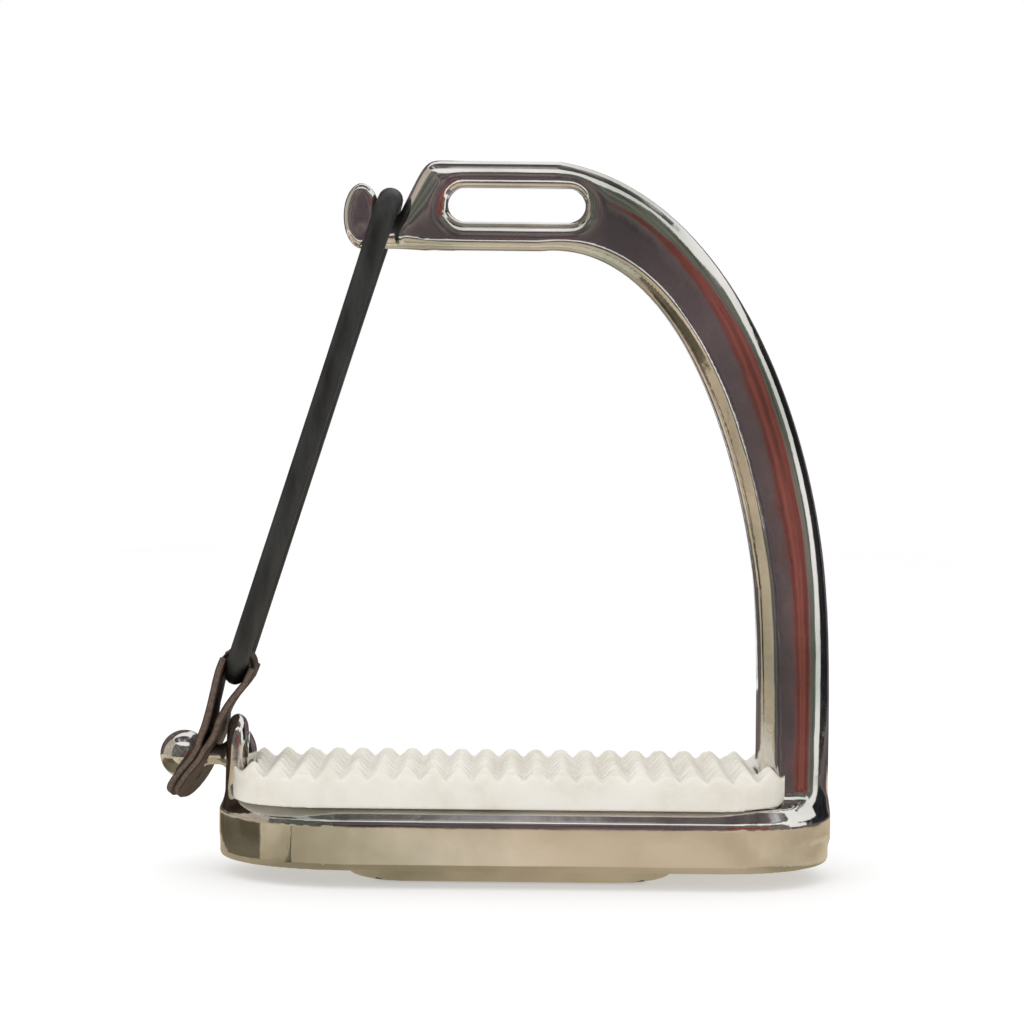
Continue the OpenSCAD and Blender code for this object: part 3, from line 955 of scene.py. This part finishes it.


# Blotches of the cards: how far along the noise, and the colour they glow with there, as painted
# light
TAN = ((0.3, (0.42, 0.34, 0.24)), (0.5, (0.62, 0.51, 0.37)), (0.7, (0.78, 0.68, 0.54)))
LIGHT_TAN = ((0.35, (0.40, 0.34, 0.28)), (0.65, (0.62, 0.56, 0.50)))
PURPLE = ((0.3, (0.045, 0.035, 0.05)), (0.5, (0.13, 0.10, 0.11)), (0.7, (0.27, 0.24, 0.20)))
DARK_RED = ((0.3, (0.09, 0.04, 0.04)), (0.5, (0.24, 0.075, 0.065)), (0.7, (0.33, 0.11, 0.09)))
GREEN_GREY = ((0.35, (0.07, 0.08, 0.07)), (0.65, (0.24, 0.24, 0.21)))
BLACK = ((0.35, (0.012, 0.012, 0.014)), (0.65, (0.03, 0.03, 0.035)))
OLIVE = ((0.35, (0.09, 0.075, 0.05)), (0.65, (0.2, 0.17, 0.12)))
CEILING = ((0.35, (0.06, 0.05, 0.06)), (0.55, (0.16, 0.14, 0.14)), (0.68, (0.6, 0.6, 0.63)))
BROWN = ((0.35, (0.36, 0.30, 0.20)), (0.65, (0.50, 0.42, 0.29)))
DARK_BROWN = ((0.35, (0.06, 0.05, 0.035)), (0.65, (0.12, 0.10, 0.07)))
UP = (0, 0, 1)
DOWN = (0, 0, -1)
FLOOR_Z = -0.0005
FLOOR_SIZE = 4
OBJECT_MIDDLE = (0, 0, 0.085)
TABLE_X = (-0.6, 0.17)
TABLE_Y = (-0.19, 0.15)


def build_studio():
    """A plain pale floor under an even white sky and one soft light."""
    floor = rectangle("floor", FLOOR_SIZE, FLOOR_SIZE, (0, 0, FLOOR_Z), UP)
    floor.data.materials.append(glowing_floor_paint())
    floor.visible_glossy = False
    world = bpy.data.worlds.new("studio")
    world.use_nodes = True
    background = world.node_tree.nodes["Background"]
    background.inputs["Color"].default_value = (1, 1, 1, 1)
    background.inputs["Strength"].default_value = 1.0
    bpy.context.scene.world = world
    bpy.context.scene.view_settings.view_transform = "Standard"
    overhead = area_light("overhead", (0.9, 0.9), (-0.25, -0.35, 1.1), OBJECT_MIDDLE, 3)
    overhead.visible_glossy = False


def on_floor(x, y, layer):
    """A place just under the object's foot; a higher layer lies over a lower one."""
    return x, y, FLOOR_Z * (1 - layer / 10)


def build_reflected_room():
    """What the steel mirrors, as glowing cards of painted light: a tan tabletop in a dark room with
    light at either side.
    """
    table_size = (TABLE_X[1] - TABLE_X[0], TABLE_Y[1] - TABLE_Y[0])
    table_middle = on_floor(sum(TABLE_X) / 2, sum(TABLE_Y) / 2, 4)
    reflected_card("ground", (0.76, 0.7), on_floor(-0.06, 0, 2), UP, PURPLE)
    reflected_card("table", table_size, table_middle, UP, TAN, 12)
    # Painted shade in the reflections: the tabletop darker brown round the foot, and darkest under
    # the collar, where the object shades the floor
    reflected_card("shaded_table_near_foot", (0.16, 0.08), on_floor(0, 0, 5), UP, BROWN, 20)
    reflected_card("shade_card_under_collar", (0.064, 0.026), on_floor(0, 0, 6), UP, DARK_BROWN)
    # What the plate's left corner mirrors: a dark patch, and the dark edge of a light strip
    reflected_card("table_end", (0.1, 0.1), on_floor(-0.144, -0.001, 7), UP, OLIVE, 25, turn=25)
    reflected_card("table_crack", (0.09, 0.002), on_floor(-0.0914, -0.0655, 7), UP,
                   DARK_BROWN, turn=50)
    reflected_card("ceiling", (2.0, 0.75), (0, -0.1, 1.2), DOWN, CEILING, 3)
    room_wall("left_back", -178, -110, PURPLE)
    room_wall("left", -110, -60, LIGHT_TAN)
    room_wall("left_front", -60, -22, GREEN_GREY)
    room_wall("front", -22, 9, PURPLE)
    room_wall("right_front", 9, 46, DARK_RED, height=0.6)
    room_wall("right_front_high", 9, 46, GREEN_GREY, base=0.5, height=0.75)
    room_wall("right", 46, 67, GREEN_GREY, height=0.95)
    room_wall("right_side", 88, 132, BLACK, height=0.75)
    room_wall("right_back", 132, 178, PURPLE, height=0.75)


CAMERA_DISTANCE = 0.650
CAMERA_DIP = math.radians(3.4)
CAMERA_ROLL = math.radians(0.6)
CAMERA_TARGET = (-0.0004, 0, 0.0867)
LENS = 95.5
SENSOR_WIDTH = 36


def build_camera():
    """A long lens a little above the middle of the iron, with a slight roll."""
    data = bpy.data.cameras.new("camera")
    data.lens = LENS
    data.sensor_width = SENSOR_WIDTH
    data.clip_start = 0.01
    camera = bpy.data.objects.new("camera", data)
    bpy.context.collection.objects.link(camera)
    back = Vector((0, -math.cos(CAMERA_DIP), math.sin(CAMERA_DIP)))
    camera.location = Vector(CAMERA_TARGET) + CAMERA_DISTANCE * back
    turn = (-back).to_track_quat("-Z", "Y").to_matrix().to_4x4()
    roll = Matrix.Rotation(CAMERA_ROLL, 4, "Z")
    camera.matrix_world = Matrix.Translation(camera.location) @ turn @ roll
    bpy.context.scene.camera = camera

# ---------------------------------------------------------------- putting it together

CASTING_STEP = 0.8
PAD_STEP = 0.5
TAB_STEP = 0.35


def stand_for(piece, node, slot, *materials):
    """Puts a finished piece in the place of its CAD node, with its materials; the slot is not used.
    """
    for material in materials:
        piece.data.materials.append(material)
    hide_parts(node)
    return piece


casting = stand_for(build_frame(CASTING_STEP), "stirrup_frame", "polished_steel",
                    polished_steel("polished_steel", (1.0, 0.965, 0.92)))
stud = stand_for(build_stud(), "ball_stud", "stud_steel",
                 polished_steel("stud_steel", (1.0, 0.98, 0.95)))
pad = stand_for(build_pad(PAD_STEP), "tread_pad", "tread_rubber", tread_rubber())
ring = stand_for(build_ring(), "rubber_ring", "ring_rubber", ring_rubber())
tab = stand_for(build_tab(TAB_STEP), "leather_tab", "tab_leather")
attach(casting, "frame")
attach(stud, "frame")
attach(pad, "tread")
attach(ring, "ring")
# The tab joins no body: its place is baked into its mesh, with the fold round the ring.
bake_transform(tab)
build_studio()
build_reflected_room()
build_camera()
